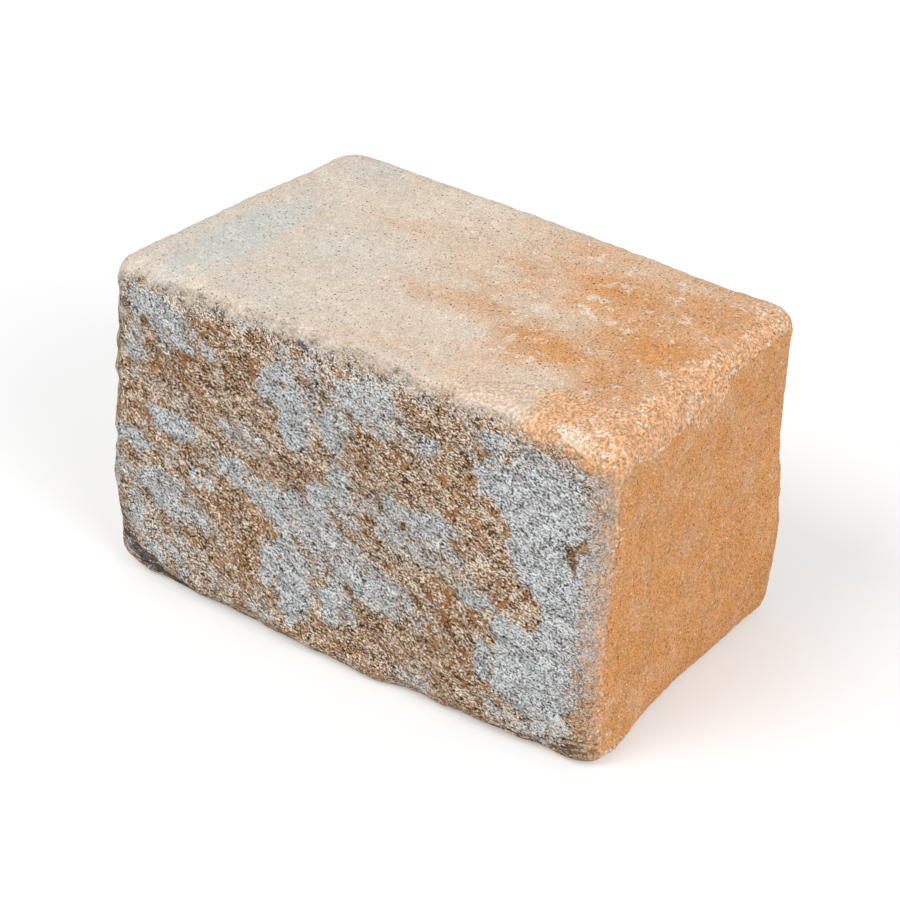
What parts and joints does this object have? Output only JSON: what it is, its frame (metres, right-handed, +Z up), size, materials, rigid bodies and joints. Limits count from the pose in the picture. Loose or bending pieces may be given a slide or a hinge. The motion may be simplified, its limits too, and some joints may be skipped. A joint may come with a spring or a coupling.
{
  "type": "fence block",
  "caption": "Solid split-face concrete block for fences and garden walls, with a rough split front, flat beds, ends and back, and worn round edges.",
  "frame": {"origin": "middle of the block's own box in plan, at the level of the ground that its lower bed rests on", "axes": "+X along the split face, -Y out of the split face, +Z up from the lower bed to the upper bed"},
  "size_m": [0.2974, 0.191, 0.176],
  "materials": {
    "tumbled_concrete": "blended beige and ochre concrete: smooth tumbled beds, ends and back, and a rough grey and brown split face"
  },
  "bodies": {
    "root": {"fence_block": "tumbled_concrete"}
  },
  "joints": []
}
